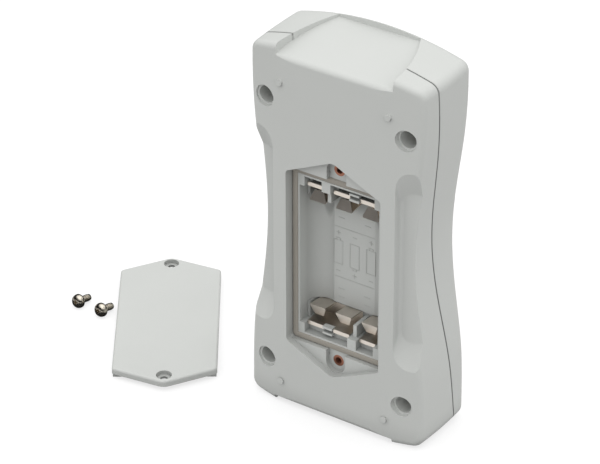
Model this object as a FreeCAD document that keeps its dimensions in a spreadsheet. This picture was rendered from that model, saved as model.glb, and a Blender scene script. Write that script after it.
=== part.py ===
import FreeCAD, Part
import math
import os
import Sketcher
from FreeCAD import Vector, Rotation, Placement

# Handheld electronics enclosure, millimetres.
# +Z is up, the enclosure stands on the two feet of its lower end, and the battery bay faces -Y.
# The origin is on the surface it stands on, midway between the feet and between front and back.
# The battery cover and its two screws lie on the same surface, as they come off.

DOCUMENT = FreeCAD.newDocument("electronics_enclosure")
SHEET = DOCUMENT.addObject("Spreadsheet::Sheet", "sizes")

SIZES = [
    ("case_depth", 31.0, "back face to front face"),
    ("crest_height", 147.0, "top of the upper arch at the front"),
    ("crest_fall", 0.4, "how much lower the upper arch is at the back"),
    ("arch_radius", 115.0, "radius of the upper end arch"),
    ("foot_radius", 300.0, "radius of the lower end arch"),
    ("foot_rise", 1.04, "how far the lower arch would reach below the feet"),
    ("low_half", 36.7, "half width at the lower end"),
    ("high_half", 35.5, "half width at the upper end"),
    ("waist_drop", 5.1, "how far each side is drawn in at the waist"),
    ("waist_height", 74.0, "height of the waist"),
    ("waist_reach", 57.0, "from the waist to where the side is straight again"),
    ("back_draft", 1.0, "side inset at the back face"),
    ("front_draft", 0.6, "side inset at the front face"),
    ("corner_radius", 4.0, "outer corners of the outline"),
    ("back_edge_radius", 2.2, "rounding round the back face"),
    ("front_edge_radius", 3.0, "rounding round the front face"),
    ("crown_flat", 15.0, "half width of the flat middle of the back face"),
    ("crown_radius", 86.0, "radius of the back face beyond the flat middle"),
    ("wall", 2.4, "wall of both shells"),
    ("seam_centre", 0.4, "seam plane at the seam datum height"),
    ("seam_datum", 69.8, "height at which the seam is measured"),
    ("seam_slope", -0.1, "lean of the seam at the datum"),
    ("seam_bow", 0.00025, "bow of the seam"),
    ("seam_groove", 0.45, "width of the shadow gap along the seam"),
    ("seam_groove_depth", 0.9, "depth of the shadow gap"),
    ("tongue_height", 1.0, "tongue of the front shell behind the rim of the back shell"),
    ("tongue_thick", 1.0, "thickness of that tongue"),
    ("fit_gap", 0.1, "play round the tongue"),
    ("panel_height", 140.4, "upper end panel at the back face"),
    ("panel_slope", 0.155, "rise of the upper end panel towards the front"),
    ("panel_front", 12.9, "front end of the upper end panel"),
    ("panel_half_back", 23.6, "half width of the panel at the back"),
    ("panel_half_front", 16.4, "half width of the panel at its front end"),
    ("panel_wall", 2.0, "thickness of both end panels"),
    ("panel_edge_radius", 1.8, "rounding between end panel and back face"),
    ("base_height", 1.6, "height of the lower end panel over the feet"),
    ("base_half", 25.0, "half width between the feet"),
    ("screw_x", 28.5, "case screws, each side of the middle"),
    ("screw_low", 16.9, "height of the lower case screws"),
    ("screw_high", 122.7, "height of the upper case screws"),
    ("bore_radius", 4.0, "counterbore of a case screw"),
    ("bore_depth", 2.6, "depth of the wide part of the counterbore"),
    ("seat_radius", 3.2, "narrower bore in which the head sits"),
    ("seat_depth", 10.5, "depth of the head seat"),
    ("shank_clear", 1.7, "clearance hole of a case screw"),
    ("boss_radius", 5.6, "boss round the counterbore"),
    ("boss_end", 12.3, "depth at which the back boss meets the front boss"),
    ("front_boss_radius", 4.4, "boss of the front shell"),
    ("pip_x", 21.9, "raised pips, each side of the middle"),
    ("pip_rise", 60.3, "raised pips above and below the screw middle"),
    ("pip_radius", 1.2, "radius of a pip"),
    ("pip_proud", 0.65, "height of a pip"),
    ("scoop_x", 24.9, "inner edge of a finger scoop"),
    ("scoop_middle", 71.4, "height of the middle of the scoops"),
    ("scoop_half", 41.3, "half length of a scoop at its inner edge"),
    ("scoop_out", 60.0, "how far outwards the scoop shape is drawn"),
    ("scoop_flare", 0.3, "slope of the ends of a scoop, seen from the back"),
    ("scoop_ramp", 2.4, "how far the end of a scoop comes in for each millimetre of depth"),
    ("scoop_draft", 0.15, "draft of the inner wall of a scoop"),
    ("scoop_corner", 11.0, "corner radius of a scoop"),
    ("scoop_depth", 3.7, "depth of a scoop at its inner edge"),
    ("scoop_fall", 0.27, "slope of the floor of a scoop"),
    ("scoop_blend", 1.6, "rounding at the foot of the scoop wall"),
    ("scoop_skin", 2.2, "wall under a scoop"),
    ("bay_middle", 62.4, "height of the middle of the battery recess"),
    ("recess_half", 19.4, "half width of the battery recess"),
    ("recess_corner", 34.35, "from the middle to a side corner of the recess"),
    ("recess_peak", 43.46, "from the middle to a pointed end, before its rounding"),
    ("ear_radius", 4.4, "rounded ends of the recess"),
    ("insert_pitch_half", 38.6, "from the middle to a cover screw"),
    ("recess_depth", 2.5, "depth of the battery recess"),
    ("recess_round", 1.6, "rounding of the side corners of the recess"),
    ("gasket_floor", 5.2, "depth of the gasket channel"),
    ("gasket_half_z", 34.7, "half height of the gasket"),
    ("gasket_width", 2.3, "width of the gasket"),
    ("gasket_inner", 17.1, "half width inside the gasket"),
    ("gasket_inner_z", 32.4, "half height inside the gasket"),
    ("gasket_thick", 1.35, "height of the gasket"),
    ("gasket_round", 0.8, "rounding of the gasket"),
    ("rim_wall", 0.7, "thin wall between gasket and bay"),
    ("rim_depth", 4.3, "depth of the top of that wall"),
    ("bay_wall", 1.8, "wall of the battery bay"),
    ("cell_pitch", 10.9, "pitch of the three cells"),
    ("trough_radius", 5.5, "radius of a cell trough"),
    ("trough_axis", 9.3, "depth of the trough axis"),
    ("floor_depth", 14.2, "depth of the flat middle floor"),
    ("floor_half", 9.0, "half width of the flat middle floor"),
    ("shelf_depth", 7.5, "depth of the shelves at the ends of the bay"),
    ("shelf_start", 27.9, "from the middle to a shelf"),
    ("shelf_half", 14.4, "half width of a shelf pocket"),
    ("contact_start", 21.9, "from the middle to the contact pocket"),
    ("contact_floor", 14.9, "depth of the contact pocket"),
    ("slot_width", 1.3, "slot behind a contact"),
    ("sheet", 0.4, "thickness of the contact sheet"),
    ("tongue_width", 6.4, "width of a spring tongue"),
    ("tip_width", 3.6, "width of the end of a spring tongue"),
    ("single_width", 6.7, "width of a single contact"),
    ("cap_width", 4.0, "moulded cap over a double contact"),
    ("cap_depth", 5.3, "depth of the top of that cap"),
    ("post_width", 3.6, "post between single and double contact"),
    ("rib_width", 1.4, "rib below that post"),
    ("rib_depth", 6.5, "depth of the top of that rib"),
    ("fold_depth", 6.2, "depth of the folded rim of a contact"),
    ("ridge_reach", 21.5, "from the middle to the bend of a spring tongue"),
    ("ridge_depth", 7.5, "depth of that bend"),
    ("tip_reach", 25.3, "from the middle to the end of a spring tongue"),
    ("tip_depth", 8.5, "depth of that end"),
    ("insert_radius", 2.2, "cover insert"),
    ("insert_bore", 1.25, "thread bore of the cover insert"),
    ("insert_length", 5.0, "length of the cover insert"),
    ("insert_depth", 4.5, "depth of the face of the cover insert"),
    ("insert_pocket", 4.0, "radius of the pocket round the cover insert"),
    ("insert_boss", 4.2, "boss round the cover insert"),
    ("case_insert_radius", 2.3, "case insert"),
    ("case_insert_bore", 1.5, "thread bore of the case insert"),
    ("case_insert_length", 6.0, "length of the case insert"),
    ("case_head_radius", 2.75, "head of a case screw"),
    ("case_head_height", 2.0, "head height of a case screw"),
    ("case_shank_length", 9.0, "shank of a case screw"),
    ("cover_half", 19.15, "half width of the battery cover"),
    ("cover_corner", 34.2, "from the middle to a side corner of the cover"),
    ("cover_peak", 43.18, "from the middle to a pointed end of the cover, before its rounding"),
    ("cover_ear_radius", 4.15, "rounded ends of the cover"),
    ("cover_thick", 2.5, "plate of the battery cover"),
    ("cover_edge", 0.9, "rounding of the cover"),
    ("lip_height", 1.6, "lip under the cover"),
    ("lip_half", 18.85, "half width of the lip"),
    ("lip_half_long", 33.6, "half length of the lip"),
    ("lip_inner", 17.0, "half width inside the lip"),
    ("lip_inner_long", 31.8, "half length inside the lip"),
    ("head_pocket", 2.9, "screw pocket in the cover"),
    ("head_pocket_depth", 1.5, "depth of the screw pocket in the cover"),
    ("cover_hole", 1.4, "screw hole in the cover"),
    ("cover_x", -85.4, "the loose cover"),
    ("cover_y", 2.2, "the loose cover"),
    ("cover_turn", 34.5, "turn of the loose cover"),
    ("head_radius", 2.7, "head of a cover screw"),
    ("head_height", 2.3, "head height of a cover screw"),
    ("shank_radius", 1.25, "shank of a cover screw"),
    ("shank_length", 6.0, "shank of a cover screw"),
    ("head_edge", 1.5, "rounding of the head of a case screw"),
    ("dome_edge", 2.0, "rounding of the head of a cover screw"),
    ("screw_one_x", -121.4, "first loose screw"),
    ("screw_one_y", -5.4, "first loose screw"),
    ("screw_two_x", -110.6, "second loose screw"),
    ("screw_two_y", -5.5, "second loose screw"),
    ("case_shank_radius", 1.45, "shank of a case screw"),
    ("drive_reach", 1.0, "arm of the cross recess in a screw head"),
    ("drive_half", 0.25, "half width of that arm"),
    ("drive_depth", 1.0, "depth of the cross recess"),
    ("label_width", 52.0, "shallow label recess in the front"),
    ("label_height", 96.0, "shallow label recess in the front"),
    ("label_depth", 0.6, "depth of the label recess"),
    ("label_corner", 4.0, "corner radius of the label recess"),
]


def fill_sheet():
    for row, (alias, value, note) in enumerate(SIZES, start=1):
        SHEET.set(f"A{row}", note)
        SHEET.set(f"B{row}", str(value))
        SHEET.setAlias(f"B{row}", alias)
    DOCUMENT.recompute()


fill_sheet()


def size(alias):
    """The value of one cell of the sheet."""
    return float(getattr(SHEET, alias))


BACK = -size("case_depth") / 2
FRONT = size("case_depth") / 2
BAY_Z = size("bay_middle")
FAR = 80.0


def at_depth(depth):
    """The Y of a point that many millimetres below the flat middle of the back face."""
    return BACK + depth


def box(x0, x1, y0, y1, z0, z1):
    return Part.makeBox(x1 - x0, y1 - y0, z1 - z0, Vector(x0, y0, z0))


def bay_box(half_x, half_z, depth0, depth1):
    """A box centred on the battery bay, between two depths."""
    return box(-half_x, half_x, at_depth(depth0), at_depth(depth1), BAY_Z - half_z, BAY_Z + half_z)


def peg(radius, x, z, y0, y1):
    """A cylinder along Y."""
    return Part.makeCylinder(radius, y1 - y0, Vector(x, y0, z), Vector(0, 1, 0))


def edges_inwards(block):
    """The edges of a block that run along Y."""
    return [edge for edge in block.Edges if abs(edge.Vertexes[0].Point.y - edge.Vertexes[-1].Point.y) > 1]


def prism(points, y0, y1):
    """A straight prism along Y over a closed outline of (x, z) points."""
    corners = [Vector(x, y0, z) for x, z in points]
    face = Part.Face(Part.makePolygon(corners + corners[:1]))
    return face.extrude(Vector(0, y1 - y0, 0))


# The case outline and its solid

def half_width(height):
    """Half the width of the case at its seam: straight ends, drawn in round the waist."""
    share = height / size("crest_height")
    straight = size("low_half") + (size("high_half") - size("low_half")) * share
    away = abs(height - size("waist_height"))
    if away >= size("waist_reach"):
        return straight
    bump = 0.5 * (1 + math.cos(math.pi * away / size("waist_reach")))
    return straight - size("waist_drop") * bump


def outline(y, inset, crest, low):
    """The closed outline at one depth: two waisted sides between two arches."""
    top_x = half_width(size("crest_height")) - inset
    low_x = half_width(0) - inset
    fall_top = top_x ** 2 / (2 * size("arch_radius"))
    fall_low = low_x ** 2 / (2 * size("foot_radius"))
    z0 = low + fall_low
    z1 = crest - fall_top
    stations = 11
    heights = [z0 + (z1 - z0) * step / (stations - 1) for step in range(stations)]
    side = [Vector(half_width(height) - inset, y, height) for height in heights]
    side[0].x = low_x
    side[-1].x = top_x
    mirrored = [Vector(-point.x, y, point.z) for point in side]
    right = Part.BSplineCurve()
    right.interpolate(side)
    left = Part.BSplineCurve()
    left.interpolate(mirrored[::-1])
    top = Part.Arc(side[-1], Vector(0, y, crest), mirrored[-1])
    bottom = Part.Arc(mirrored[0], Vector(0, y, low), side[0])
    return Part.Wire([right.toShape(), top.toShape(), left.toShape(), bottom.toShape()])


def long_edges(shape):
    """The edges that run from the back of the case to its front."""
    found = []
    for edge in shape.Edges:
        ends = [vertex.Point for vertex in edge.Vertexes]
        if len(ends) == 2 and abs(ends[0].y - ends[1].y) > size("case_depth") / 2:
            found.append(edge)
    return found


def case_solid(inset, corner):
    """The case as a solid with drafted sides, inset all round, without its edge roundings."""
    back = BACK + inset
    front = FRONT - inset
    crest = size("crest_height") - inset
    low = -size("foot_rise") + inset
    middle = size("seam_centre")
    share = (FRONT - middle) / size("case_depth")
    sections = [
        outline(back, size("back_draft") + inset, crest - size("crest_fall"), low),
        outline(middle, inset, crest - size("crest_fall") * share, low),
        outline(front, size("front_draft") + inset, crest, low),
    ]
    solid = Part.makeLoft(sections, True, False)
    return solid.makeFillet(corner, long_edges(solid))


def crown_block(inset):
    """All that lies in front of the crowned back face: flat in the middle, falling off to the sides."""
    flat = size("crown_flat")
    radius = size("crown_radius")
    reach = 45.0
    y = BACK + inset

    def drop(x):
        return radius - math.sqrt(radius ** 2 - (x - flat) ** 2)

    half = (reach + flat) / 2
    points = [Vector(x, y + drop(x), -FAR) for x in (flat, half, reach)]
    mirrored = [Vector(-point.x, point.y, point.z) for point in points]
    edges = [
        Part.Arc(*points).toShape(),
        Part.makeLine(points[2], Vector(reach, FAR, -FAR)),
        Part.makeLine(Vector(reach, FAR, -FAR), Vector(-reach, FAR, -FAR)),
        Part.makeLine(Vector(-reach, FAR, -FAR), mirrored[2]),
        Part.Arc(*mirrored[::-1]).toShape(),
        Part.makeLine(mirrored[0], points[0]),
    ]
    return Part.Face(Part.Wire(edges)).extrude(Vector(0, 0, 4 * FAR))


def perimeter(shape, test):
    """The edges whose points all pass a test."""
    found = []
    for edge in shape.Edges:
        middle = edge.valueAt((edge.FirstParameter + edge.LastParameter) / 2)
        points = [vertex.Point for vertex in edge.Vertexes] + [middle]
        if all(test(point) for point in points):
            found.append(edge)
    return found


def case_outer():
    """The outer form of the closed case, with its back and front edges rounded."""
    solid = case_solid(0, size("corner_radius")).common(crown_block(0))
    front_edges = perimeter(solid, lambda point: abs(point.y - FRONT) < 0.01)
    solid = solid.makeFillet(size("front_edge_radius"), front_edges)

    def on_crown(point):
        x = max(abs(point.x) - size("crown_flat"), 0)
        radius = size("crown_radius")
        return abs(point.y - BACK - radius + math.sqrt(radius ** 2 - x ** 2)) < 0.02

    back_edges = [edge for edge in perimeter(solid, on_crown) if not is_crown_line(edge)]
    return solid.makeFillet(size("back_edge_radius"), back_edges)


def is_crown_line(edge):
    """The two lines up the back face where its flat middle ends."""
    xs = [abs(vertex.Point.x) for vertex in edge.Vertexes]
    rise = abs(edge.Vertexes[0].Point.z - edge.Vertexes[-1].Point.z)
    return rise > 50 and all(abs(x - size("crown_flat")) < 0.05 for x in xs)


# The end panels and the seam

def panel_outline(grow):
    """The upper end panel from above: sides square to the back face, bowed in to a straight front."""
    half_back = size("panel_half_back") + grow
    half_front = size("panel_half_front") + grow
    front = size("panel_front") + grow
    behind = BACK - 5
    half_turn = math.atan2(half_back - half_front, front - BACK)
    radius = (front - BACK) / math.sin(2 * half_turn)
    bulge = radius * (1 - math.cos(half_turn))
    sides = []
    for sign in (1, -1):
        start = Vector(sign * half_back, BACK, 0)
        middle = Vector(sign * (half_back - bulge), BACK + radius * math.sin(half_turn), 0)
        end = Vector(sign * half_front, front, 0)
        sides.append((start, Part.Arc(start, middle, end).toShape(), end))
    (right_start, right, right_end), (left_start, left, left_end) = sides
    right_back = Vector(half_back, behind, 0)
    left_back = Vector(-half_back, behind, 0)
    edges = [
        right,
        Part.makeLine(right_end, left_end),
        left,
        Part.makeLine(left_start, left_back),
        Part.makeLine(left_back, right_back),
        Part.makeLine(right_back, right_start),
    ]
    return Part.Face(Part.Wire(Part.__sortEdges__(edges)))


def panel_prism(grow):
    """The room over the upper end panel, from well below the panel to above the case."""
    face = panel_outline(grow)
    face.translate(Vector(0, 0, size("panel_height") - size("case_depth") / 2))
    return face.extrude(Vector(0, 0, size("case_depth")))


def side_profile(corners, half):
    """A closed outline of (y, z) points pulled out along X to both sides."""
    points = [Vector(-half, y, z) for y, z in corners]
    face = Part.Face(Part.makePolygon(points + points[:1]))
    return face.extrude(Vector(2 * half, 0, 0))


def panel_level(y, below=0.0):
    return size("panel_height") + size("panel_slope") * (y - BACK) - below


def above_panel(below):
    """Everything above the plane of the upper end panel, lowered by a distance."""
    y0 = BACK - 10
    y1 = FRONT + 10
    top = size("crest_height") + 10
    corners = [(y0, panel_level(y0, below)), (y1, panel_level(y1, below)), (y1, top), (y0, top)]
    return side_profile(corners, 40)


def rounded_step(level, slope, sign):
    """The space beyond an end panel, with a rounded edge between the panel and the back face."""
    radius = size("panel_edge_radius")
    lean = math.atan(slope)
    run = radius / math.tan((math.pi / 2 + lean) / 2)
    corner = Vector(-40, BACK, level)
    floor_end = corner + Vector(0, math.cos(lean), sign * math.sin(lean)) * run
    wall_end = corner - Vector(0, 0, sign * run)
    centre = wall_end + Vector(0, radius, 0)
    middle = centre + (corner - centre).normalize() * radius
    y0 = BACK - 10
    y1 = FRONT + 10
    far_floor = Vector(-40, y1, level + sign * slope * (y1 - BACK))
    far_top = Vector(-40, y1, level + sign * 30)
    near_top = Vector(-40, y0, level + sign * 30)
    near_wall = Vector(-40, y0, wall_end.z)
    edges = [
        Part.Arc(wall_end, middle, floor_end).toShape(),
        Part.makeLine(floor_end, far_floor),
        Part.makeLine(far_floor, far_top),
        Part.makeLine(far_top, near_top),
        Part.makeLine(near_top, near_wall),
        Part.makeLine(near_wall, wall_end),
    ]
    return Part.Face(Part.Wire(edges)).extrude(Vector(80, 0, 0))


def base_block(grow):
    half = size("base_half") + grow
    return box(-half, half, BACK - 10, FRONT + 10, -20, size("base_height") + 6)


def seam_y(height):
    rise = height - size("seam_datum")
    return size("seam_centre") + size("seam_slope") * rise + size("seam_bow") * rise ** 2


def behind_seam(offset):
    """All that lies on the back shell's side of the parting line, moved by an offset."""
    low, middle, high = (Vector(-50, seam_y(z) + offset, z) for z in (-20.0, 70.0, 160.0))
    low_far = Vector(-50, -FAR, low.z)
    high_far = Vector(-50, -FAR, high.z)
    edges = [
        Part.Arc(low, middle, high).toShape(),
        Part.makeLine(high, high_far),
        Part.makeLine(high_far, low_far),
        Part.makeLine(low_far, low),
    ]
    return Part.Face(Part.Wire(edges)).extrude(Vector(100, 0, 0))


# The finger scoops

def corner_arc(corner, before, after, radius):
    """The arc that rounds a corner between its two neighbours in an outline."""
    one = (before - corner).normalize()
    two = (after - corner).normalize()
    half_angle = one.getAngle(two) / 2
    reach = radius / math.tan(half_angle)
    middle = corner + (one + two).normalize() * (radius / math.sin(half_angle) - radius)
    return corner + one * reach, middle, corner + two * reach


def scoop_outline(depth, grow):
    """The right-hand scoop at one depth: straight inner side, round corners, ends coming in with depth."""
    y = at_depth(depth)
    inner = size("scoop_x") - grow + size("scoop_draft") * depth
    out = size("scoop_out")
    middle = size("scoop_middle")
    half = size("scoop_half") + grow - size("scoop_ramp") * depth
    far_half = half + size("scoop_flare") * (out - inner)
    far_high = Vector(out, y, middle + far_half)
    high = Vector(inner, y, middle + half)
    low = Vector(inner, y, middle - half)
    far_low = Vector(out, y, middle - far_half)
    corner = size("scoop_corner")
    high_start, high_middle, high_end = corner_arc(high, far_high, low, corner)
    low_start, low_middle, low_end = corner_arc(low, high, far_low, corner)
    return Part.Wire([
        Part.makeLine(far_high, high_start),
        Part.Arc(high_start, high_middle, high_end).toShape(),
        Part.makeLine(high_end, low_start),
        Part.Arc(low_start, low_middle, low_end).toShape(),
        Part.makeLine(low_end, far_low),
        Part.makeLine(far_low, far_high),
    ])


def scoop(grow):
    """The right-hand finger scoop: steep inner wall, sloping ends, floor falling to the side."""
    block = Part.makeLoft([scoop_outline(depth, grow) for depth in (-4.0, 9.0)], True, True)
    inner = size("scoop_x") - grow
    out = size("scoop_out")
    level = at_depth(size("scoop_depth") + grow)

    def floor_y(x):
        return level + size("scoop_fall") * (x - inner)

    floor = [
        Vector(inner - 5, BACK - 20, -20),
        Vector(inner - 5, floor_y(inner - 5), -20),
        Vector(out + 1, floor_y(out + 1), -20),
        Vector(out + 1, BACK - 20, -20),
    ]
    block = block.common(Part.Face(Part.makePolygon(floor + floor[:1])).extrude(Vector(0, 0, 200)))
    if grow > 0:
        return block
    foot = perimeter(block, lambda point: abs(point.y - floor_y(point.x)) < 0.01)
    return block.makeFillet(size("scoop_blend"), [edge for edge in foot if is_near(edge, out)])


def is_near(edge, limit):
    """Whether an edge has a point clearly inside a limit along X."""
    return min(vertex.Point.x for vertex in edge.Vertexes) < limit - 0.1


def both_sides(shape):
    """A shape and its mirror image across the middle of the case."""
    return [shape, shape.mirror(Vector(0, 0, 0), Vector(1, 0, 0))]


# The battery recess and bay

def recess_prism(grow, depth0, depth1):
    """The long six-sided recess, with rounded corners and ends, between two depths."""
    half = size("recess_half") + grow
    corner = size("recess_corner") + grow / 2
    peak = size("recess_peak") + grow
    points = [
        (half, BAY_Z + corner), (0, BAY_Z + peak), (-half, BAY_Z + corner),
        (-half, BAY_Z - corner), (0, BAY_Z - peak), (half, BAY_Z - corner),
    ]
    block = prism(points, at_depth(depth0), at_depth(depth1))
    ends = perimeter(block, lambda point: abs(point.x) < 0.01 and abs(point.z - BAY_Z) > corner)
    block = block.makeFillet(size("ear_radius") + grow, ends)
    corners = [edge for edge in perimeter(block, lambda point: abs(abs(point.x) - half) < 0.01)
               if abs(edge.Vertexes[0].Point.y - edge.Vertexes[-1].Point.y) > 0.5]
    return block.makeFillet(size("recess_round") + grow, corners)


def screw_places():
    """The four case screws as (x, z), lower pair first."""
    return [(sign * size("screw_x"), z) for z in (size("screw_low"), size("screw_high")) for sign in (-1, 1)]


def bay_solids():
    """What the bay adds inside the back shell."""
    skin = size("bay_wall")
    half_x = 1.5 * size("cell_pitch")
    half_z = size("gasket_half_z") - size("gasket_width") - size("rim_wall")
    channel = size("gasket_floor") + skin
    yield recess_prism(skin, 1.0, size("recess_depth") + skin)
    yield bay_box(size("recess_half") + skin, size("gasket_half_z") + skin, 1.0, channel)
    yield bay_box(half_x + skin, half_z + skin, 1.0, size("contact_floor") + 1.6)
    boss_end = size("insert_depth") + size("insert_length") + skin
    for sign in (1, -1):
        z = BAY_Z + sign * size("insert_pitch_half")
        yield peg(size("insert_boss"), 0, z, at_depth(1.0), at_depth(boss_end))


def bay_cuts():
    """What is taken out: recess, gasket channel, cell troughs, contact pockets, insert pockets."""
    half_x = 1.5 * size("cell_pitch")
    half_z = size("gasket_half_z") - size("gasket_width") - size("rim_wall")
    yield recess_prism(0, -5.0, size("recess_depth"))
    channel = bay_box(size("recess_half"), size("gasket_half_z"), 1.0, size("gasket_floor"))
    rim = size("rim_wall")
    wall = bay_box(half_x + rim, half_z + rim, size("rim_depth"), size("gasket_floor") + 1)
    yield channel.makeFillet(size("recess_round"), edges_inwards(channel)).cut(wall)
    yield bay_box(half_x, size("shelf_start"), 1.0, size("trough_axis"))
    yield bay_box(size("shelf_half"), half_z, 1.0, size("shelf_depth"))
    start = size("contact_start")
    yield bay_box(size("floor_half"), start, 1.0, size("floor_depth"))
    axis = at_depth(size("trough_axis"))
    for sign in (1, -1):
        origin = Vector(sign * size("cell_pitch"), axis, BAY_Z - start)
        yield Part.makeCylinder(size("trough_radius") - 0.05, 2 * start, origin, Vector(0, 0, 1))
        z0, z1 = sorted((BAY_Z + sign * start, BAY_Z + sign * size("shelf_start")))
        yield box(-half_x + 1, half_x - 1, at_depth(1.0), at_depth(size("contact_floor")), z0, z1)
        z = BAY_Z + sign * size("insert_pitch_half")
        radius = size("insert_pocket")
        yield peg(radius, 0, z, at_depth(1.0), at_depth(size("insert_depth")))
        z0, z1 = sorted((z, BAY_Z + sign * (size("gasket_half_z") - 0.5)))
        yield box(-radius, radius, at_depth(1.0), at_depth(size("insert_depth")), z0, z1)
        yield peg(size("insert_radius"), 0, z, at_depth(1.0),
                  at_depth(size("insert_depth") + size("insert_length")))


def contact_slots():
    """The slots behind the contacts, open into the case."""
    low = size("shelf_start") + 0.3
    high = low + size("slot_width")
    for sign in (1, -1):
        z0, z1 = sorted((BAY_Z + sign * low, BAY_Z + sign * high))
        for centre, width in contact_spans(sign):
            half = width / 2 - 1.0
            yield box(centre - half, centre + half, at_depth(5.0), at_depth(20.0), z0, z1)


def contact_spans(sign):
    """Centre and width of the double and the single contact at one end of the bay."""
    pitch = size("cell_pitch")
    single = size("single_width")
    return [(sign * pitch / 2, single + pitch), (-sign * pitch, single)]


def bay_details():
    """The moulded caps, posts and ribs that hold the contacts."""
    half_z = size("gasket_half_z") - size("gasket_width") - size("rim_wall")
    shelf = size("shelf_start")
    pitch = size("cell_pitch")
    for sign in (1, -1):
        double = contact_spans(sign)[0][0]
        between = -sign * pitch / 2
        foot = at_depth(size("shelf_depth"))
        floor = at_depth(size("contact_floor"))
        half = size("cap_width") / 2
        z0, z1 = sorted((BAY_Z + sign * (shelf - 0.6), BAY_Z + sign * (shelf + 2.4)))
        yield box(double - half, double + half, at_depth(size("cap_depth")), foot, z0, z1)
        half = size("post_width") / 2
        z0, z1 = sorted((BAY_Z + sign * shelf, BAY_Z + sign * half_z))
        yield box(between - half, between + half, at_depth(size("rim_depth")), foot, z0, z1)
        half = size("rib_width") / 2
        z0, z1 = sorted((BAY_Z + sign * (size("contact_start") + 1.2), BAY_Z + sign * shelf))
        yield box(between - half, between + half, at_depth(size("rib_depth")), floor, z0, z1)


# The two shells

def hollow():
    """The space inside the closed case, kept clear of the end panels and scoops."""
    wall = size("wall")
    space = case_solid(wall, size("corner_radius") - wall).common(crown_block(wall))
    keep = [
        panel_prism(size("panel_wall")).common(above_panel(size("panel_wall"))),
        box(-size("base_half") - 2, size("base_half") + 2, BACK - 10, FRONT + 10,
            -20, size("base_height") + size("panel_wall")),
    ]
    keep += both_sides(scoop(size("scoop_skin")))
    return space.cut(keep)


def inner_rim(inset0, inset1, height):
    """A band between two insets of the outline, standing from the seam towards the back."""
    corner = size("corner_radius")
    band = case_solid(inset0, corner - inset0).cut(case_solid(inset1, corner - inset1))
    band = band.common(behind_seam(0).cut(behind_seam(-height)))
    gap = size("fit_gap") * 2
    return band.cut([panel_prism(size("panel_wall") + gap), base_block(size("panel_wall") + gap)])


def shells():
    outer = case_outer()
    panel_void = panel_prism(0).common(rounded_step(size("panel_height"), size("panel_slope"), 1))
    base_void = base_block(0).common(rounded_step(size("base_height"), 0.0, -1))
    outer = outer.cut([panel_void, base_void] + both_sides(scoop(0)))
    closed = outer.cut(hollow())
    back_zone = behind_seam(0).fuse(panel_prism(0))
    return outer, closed.common(back_zone), closed.cut(back_zone)


def back_shell(outer, blank):
    depth = at_depth(size("boss_end"))
    solids = list(bay_solids())
    solids += [peg(size("boss_radius"), x, z, BACK - 2, depth) for x, z in screw_places()]
    shell = blank.fuse([solid.common(outer) for solid in solids])
    cuts = list(bay_cuts())
    for x, z in screw_places():
        cuts.append(peg(size("bore_radius"), x, z, BACK - 5, at_depth(size("bore_depth"))))
        cuts.append(peg(size("seat_radius"), x, z, BACK - 5, at_depth(size("seat_depth"))))
        cuts.append(peg(size("shank_clear"), x, z, BACK - 5, depth + 5))
    shell = shell.cut(cuts)
    shell = shell.fuse(list(bay_details()))
    play = size("fit_gap")
    wall = size("wall")
    rebate = inner_rim(wall - size("tongue_thick") - play, wall + play, size("tongue_height") + play)
    skin = size("seam_groove_depth")
    groove = case_solid(-0.5, size("corner_radius") + 0.5).cut(case_solid(skin, size("corner_radius") - skin))
    groove = groove.common(behind_seam(0.05).cut(behind_seam(-size("seam_groove"))))
    groove = groove.cut(panel_prism(0))
    shell = shell.cut([rebate, groove] + list(contact_slots()))
    pips = []
    middle = (size("screw_low") + size("screw_high")) / 2
    for side in (1, -1):
        for end in (1, -1):
            x = side * size("pip_x")
            z = middle + end * size("pip_rise")
            pips.append(peg(size("pip_radius"), x, z, BACK + 0.27 - size("pip_proud"), BACK + 1.2))
    return shell.fuse(pips).removeSplitter()


def front_shell(blank):
    start = at_depth(size("boss_end"))
    wall = size("wall")
    bosses = [peg(size("front_boss_radius"), x, z, start, FRONT - 1) for x, z in screw_places()]
    rim = inner_rim(wall - size("tongue_thick"), wall, size("tongue_height"))
    shell = blank.fuse(bosses + [rim])
    cuts = []
    for x, z in screw_places():
        cuts.append(peg(size("case_insert_radius"), x, z, start - 1, start + size("case_insert_length")))
        cuts.append(peg(size("case_insert_bore"), x, z, start - 1, FRONT - wall - 1))
    half = size("label_width") / 2
    middle = size("crest_height") / 2
    tall = size("label_height") / 2
    label = box(-half, half, FRONT - size("label_depth"), FRONT + 1, middle - tall, middle + tall)
    cuts.append(label.makeFillet(size("label_corner"), edges_inwards(label)))
    return shell.cut(cuts).removeSplitter()


# The battery contacts, folded from sheet

def folded(points, x0, x1, sign):
    """A strip of sheet along (distance from the bay's middle, depth) points, between two X values."""
    half = size("sheet") / 2
    normals = []
    for (u0, v0), (u1, v1) in zip(points, points[1:]):
        length = math.hypot(u1 - u0, v1 - v0)
        normals.append(((v0 - v1) / length, (u1 - u0) / length))
    rims = ([], [])
    for index, (u, v) in enumerate(points):
        before = normals[max(index - 1, 0)]
        after = normals[min(index, len(normals) - 1)]
        scale = half / (1 + before[0] * after[0] + before[1] * after[1])
        shift = ((before[0] + after[0]) * scale, (before[1] + after[1]) * scale)
        rims[0].append((u + shift[0], v + shift[1]))
        rims[1].append((u - shift[0], v - shift[1]))
    ring = rims[0] + rims[1][::-1]
    corners = [Vector(x0, at_depth(v), BAY_Z + sign * u) for u, v in ring]
    return Part.Face(Part.makePolygon(corners + corners[:1])).extrude(Vector(x1 - x0, 0, 0))


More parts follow.
